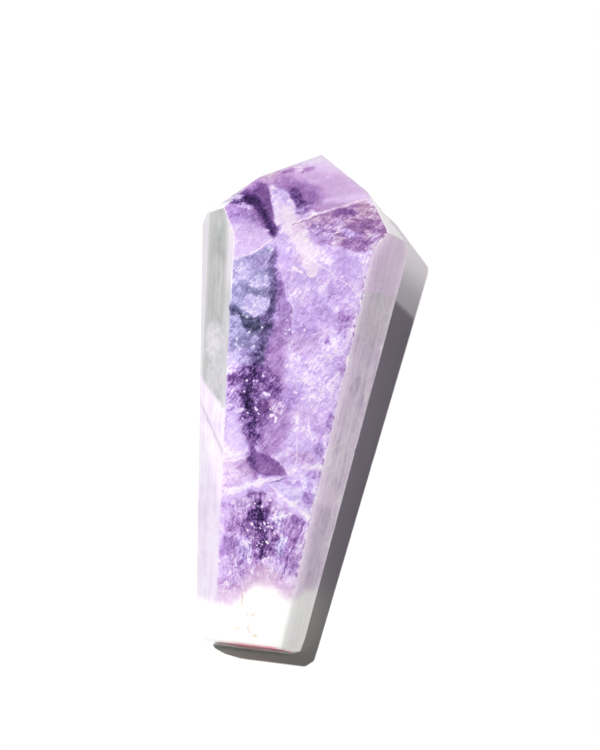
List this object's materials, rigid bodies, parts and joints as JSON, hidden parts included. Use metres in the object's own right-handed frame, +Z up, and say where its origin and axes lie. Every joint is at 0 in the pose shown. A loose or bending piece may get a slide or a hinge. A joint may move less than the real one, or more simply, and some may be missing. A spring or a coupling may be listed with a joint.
{
  "type": "trapiche amethyst point",
  "caption": "Polished amethyst point: a tapered six-sided crystal with a faceted tip and a flat cut base, lying on its back facet.",
  "frame": {"origin": "on the surface that the stone lies on, under the middle of its bounding box", "axes": "+Z up from that surface to the front facet, +Y from the cut base towards the tip, +X to the right of a viewer who looks down on the front facet with the tip away from them"},
  "size_m": [0.0338, 0.0816, 0.0183],
  "materials": {
    "amethyst": "polished"
  },
  "bodies": {
    "root": {"amethyst_point": "amethyst"}
  },
  "joints": []
}
